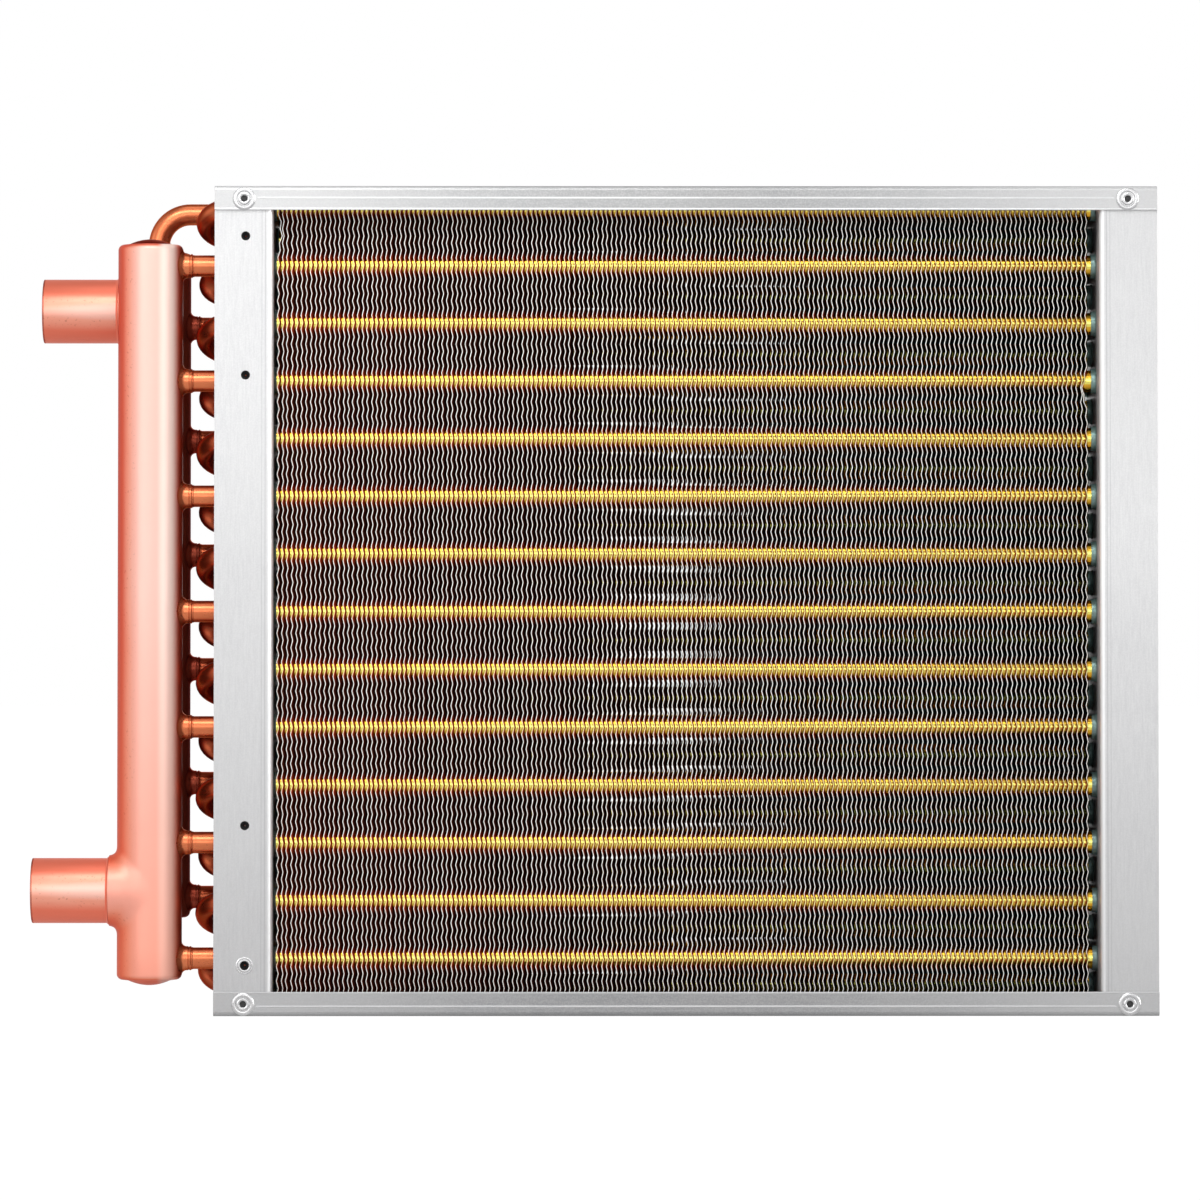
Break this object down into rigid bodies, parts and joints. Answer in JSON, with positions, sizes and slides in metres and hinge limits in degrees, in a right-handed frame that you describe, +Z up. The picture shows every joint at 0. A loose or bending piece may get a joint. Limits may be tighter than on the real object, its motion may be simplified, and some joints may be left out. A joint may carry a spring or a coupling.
{
  "type": "water-to-air heat exchanger",
  "caption": "Finned copper tube coil in a folded sheet casing, with upright side headers and round water ports, that heats or cools air passing through its fins.",
  "frame": {"origin": "middle of the casing's underside", "axes": "+X along the fins' stack, away from the headers; Y is the way the air passes, -Y the front; +Z up"},
  "size_m": [0.4939, 0.094, 0.363],
  "materials": {
    "casing_sheet": "bright galvanised sheet with a fine grain",
    "fins": "plain rolled foil",
    "rivets": "smooth",
    "header_copper": "satin drawn copper",
    "tube_copper": "copper, darkened near the brazed joints"
  },
  "bodies": {
    "root": {"bottom_channel": "casing_sheet", "corner_rivets": "rivets", "crossover_tube": "tube_copper", "fin_pack": "fins", "front_hairpin_1": "tube_copper", "front_hairpin_2": "tube_copper", "front_hairpin_3": "tube_copper", "front_hairpin_4": "tube_copper", "front_hairpin_5": "tube_copper", "front_hairpin_6": "tube_copper", "front_hairpin_7": "tube_copper", "front_return_bend_1": "tube_copper", "front_return_bend_2": "tube_copper", "front_return_bend_3": "tube_copper", "front_return_bend_4": "tube_copper", "front_return_bend_5": "tube_copper", "front_return_bend_6": "tube_copper", "front_return_bend_7": "tube_copper", "left_end_plate": "casing_sheet", "middle_hairpin_1": "tube_copper", "middle_hairpin_2": "tube_copper", "middle_hairpin_3": "tube_copper", "middle_hairpin_4": "tube_copper", "middle_hairpin_5": "tube_copper", "middle_hairpin_6": "tube_copper", "middle_hairpin_7": "tube_copper", "rear_hairpin_1": "tube_copper", "rear_hairpin_2": "tube_copper", "rear_hairpin_3": "tube_copper", "rear_hairpin_4": "tube_copper", "rear_hairpin_5": "tube_copper", "rear_hairpin_6": "tube_copper", "rear_hairpin_7": "tube_copper", "rear_return_bend_1": "tube_copper", "rear_return_bend_2": "tube_copper", "rear_return_bend_3": "tube_copper", "rear_return_bend_4": "tube_copper", "rear_return_bend_5": "tube_copper", "rear_return_bend_6": "tube_copper", "rear_return_bend_7": "tube_copper", "return_header": "header_copper", "return_header_bottom_cap": "header_copper", "return_header_top_cap": "header_copper", "return_port": "header_copper", "return_stubs": "tube_copper", "right_end_plate": "casing_sheet", "supply_header": "header_copper", "supply_header_bottom_cap": "header_copper", "supply_header_top_cap": "header_copper", "supply_port": "header_copper", "supply_stub_1": "tube_copper", "supply_stub_2": "tube_copper", "supply_stub_3": "tube_copper", "supply_stub_4": "tube_copper", "supply_stub_5": "tube_copper", "supply_stub_6": "tube_copper", "supply_stub_7": "tube_copper", "top_channel": "casing_sheet"}
  },
  "joints": []
}
